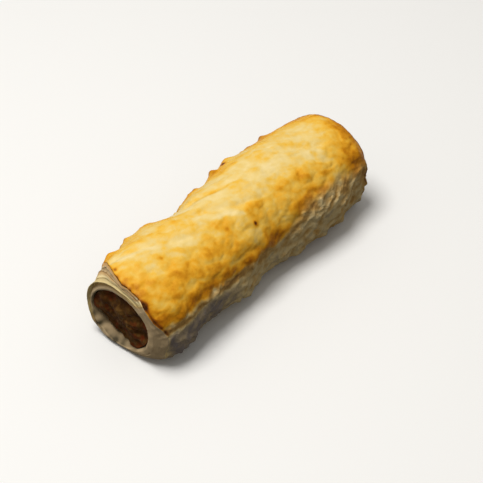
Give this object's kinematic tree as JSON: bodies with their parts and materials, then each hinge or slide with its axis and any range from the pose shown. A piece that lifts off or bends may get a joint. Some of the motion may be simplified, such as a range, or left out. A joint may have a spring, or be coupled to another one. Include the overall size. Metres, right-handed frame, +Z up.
{
  "type": "sausage roll",
  "caption": "Baked puff pastry roll round a run of sausage meat, both ends cut square so that the pastry leaves and the browned filling show.",
  "frame": {"origin": "middle of the flat base, at the height that it rests on", "axes": "+X along the roll from the near open end to the far one, +Z up, -Y towards the pale side that shows"},
  "size_m": [0.1336, 0.0518, 0.0396],
  "materials": {
    "pastry": "baked puff pastry, golden above and pale at the sides",
    "filling": "cooked sausage meat, browned and crumbed"
  },
  "bodies": {
    "root": {"pastry": "pastry", "filling": "filling"}
  },
  "joints": []
}
